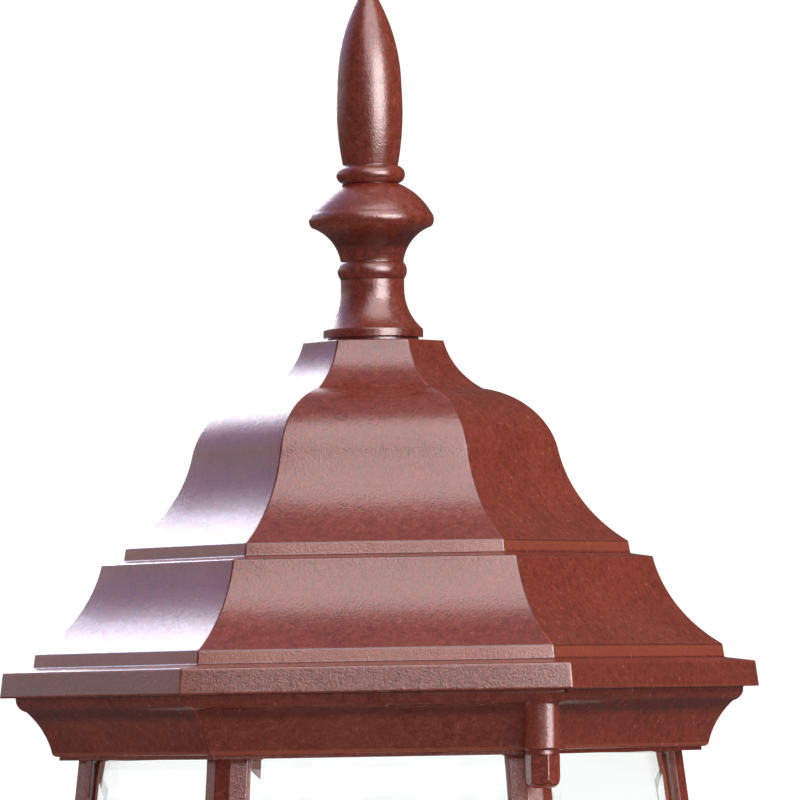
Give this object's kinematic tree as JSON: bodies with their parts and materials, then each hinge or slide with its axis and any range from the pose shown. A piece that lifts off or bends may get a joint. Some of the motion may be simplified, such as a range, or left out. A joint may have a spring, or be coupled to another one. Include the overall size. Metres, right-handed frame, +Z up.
{
  "type": "hexagonal wall lantern",
  "caption": "Hexagonal cast wall lantern with a stepped lift-off roof, turned finial, bevelled glass, candle lamps, swan-neck arm and canted wall plate.",
  "frame": {"origin": "centre of the mounting strap's slot pattern on the wall plane, which is the middle of the wall plate's back", "axes": "+Z up, +Y into the wall, +X to the right seen from the front; the lantern stands out along -Y"},
  "size_m": [0.2446, 0.2559, 0.59],
  "materials": {
    "walnut_paint": "mottled red-brown walnut paint over cast aluminium, satin",
    "clear_pane": "clear bevelled glass",
    "zinc_steel": "zinc plated steel",
    "brass_thread": "plain brass",
    "ivory_sleeve": "ivory candle sleeve",
    "dark_socket": "dark phenolic",
    "bulb_envelope": "clear lamp glass",
    "bulb_cap_metal": "nickelled lamp cap",
    "green_screw": "green earth screw"
  },
  "bodies": {
    "root": {"arm_root_collar": "walnut_paint", "arm_top_collar": "walnut_paint", "arm_tube": "walnut_paint", "base_casting": "walnut_paint", "bottom_bowl": "walnut_paint", "bulb_caps": "bulb_cap_metal", "bulb_glass": "bulb_envelope", "candle_sleeves": "ivory_sleeve", "ground_screw": "green_screw", "lamp_lock_nut": "brass_thread", "lamp_nipple": "brass_thread", "lamp_sockets": "dark_socket", "mounting_strap": "zinc_steel", "pane_back": "clear_pane", "pane_back_left": "clear_pane", "pane_back_right": "clear_pane", "pane_front": "clear_pane", "pane_front_left": "clear_pane", "pane_front_right": "clear_pane", "plate_cap_nuts": "walnut_paint", "plate_studs": "zinc_steel", "post_back_left": "walnut_paint", "post_back_right": "walnut_paint", "post_front_left": "walnut_paint", "post_front_right": "walnut_paint", "post_left": "walnut_paint", "post_right": "walnut_paint", "post_screws_base": "zinc_steel", "post_screws_top": "zinc_steel", "root_lock_nut": "brass_thread", "root_nipple": "brass_thread", "socket_bracket": "zinc_steel", "stud_lock_nuts": "zinc_steel", "top_ring": "walnut_paint", "wall_plate": "walnut_paint"},
    "roof": {"roof_casting": "walnut_paint", "finial": "walnut_paint", "finial_stud": "zinc_steel", "finial_washer": "zinc_steel", "finial_lock_nut": "zinc_steel", "roof_studs": "zinc_steel"},
    "roof_nut_front": {"roof_nut_front": "walnut_paint"},
    "roof_nut_rear": {"roof_nut_rear": "walnut_paint"}
  },
  "joints": [
    {"name": "roof_lift", "type": "slide", "parent": "root", "child": "roof", "axis": [0, 0, 1], "range_m": [0, 0.12]},
    {"name": "front_nut_unscrew", "type": "slide", "parent": "root", "child": "roof_nut_front", "axis": [0, 0, -1], "range_m": [0, 0.016]},
    {"name": "rear_nut_unscrew", "type": "slide", "parent": "root", "child": "roof_nut_rear", "axis": [0, 0, -1], "range_m": [0, 0.016]}
  ]
}
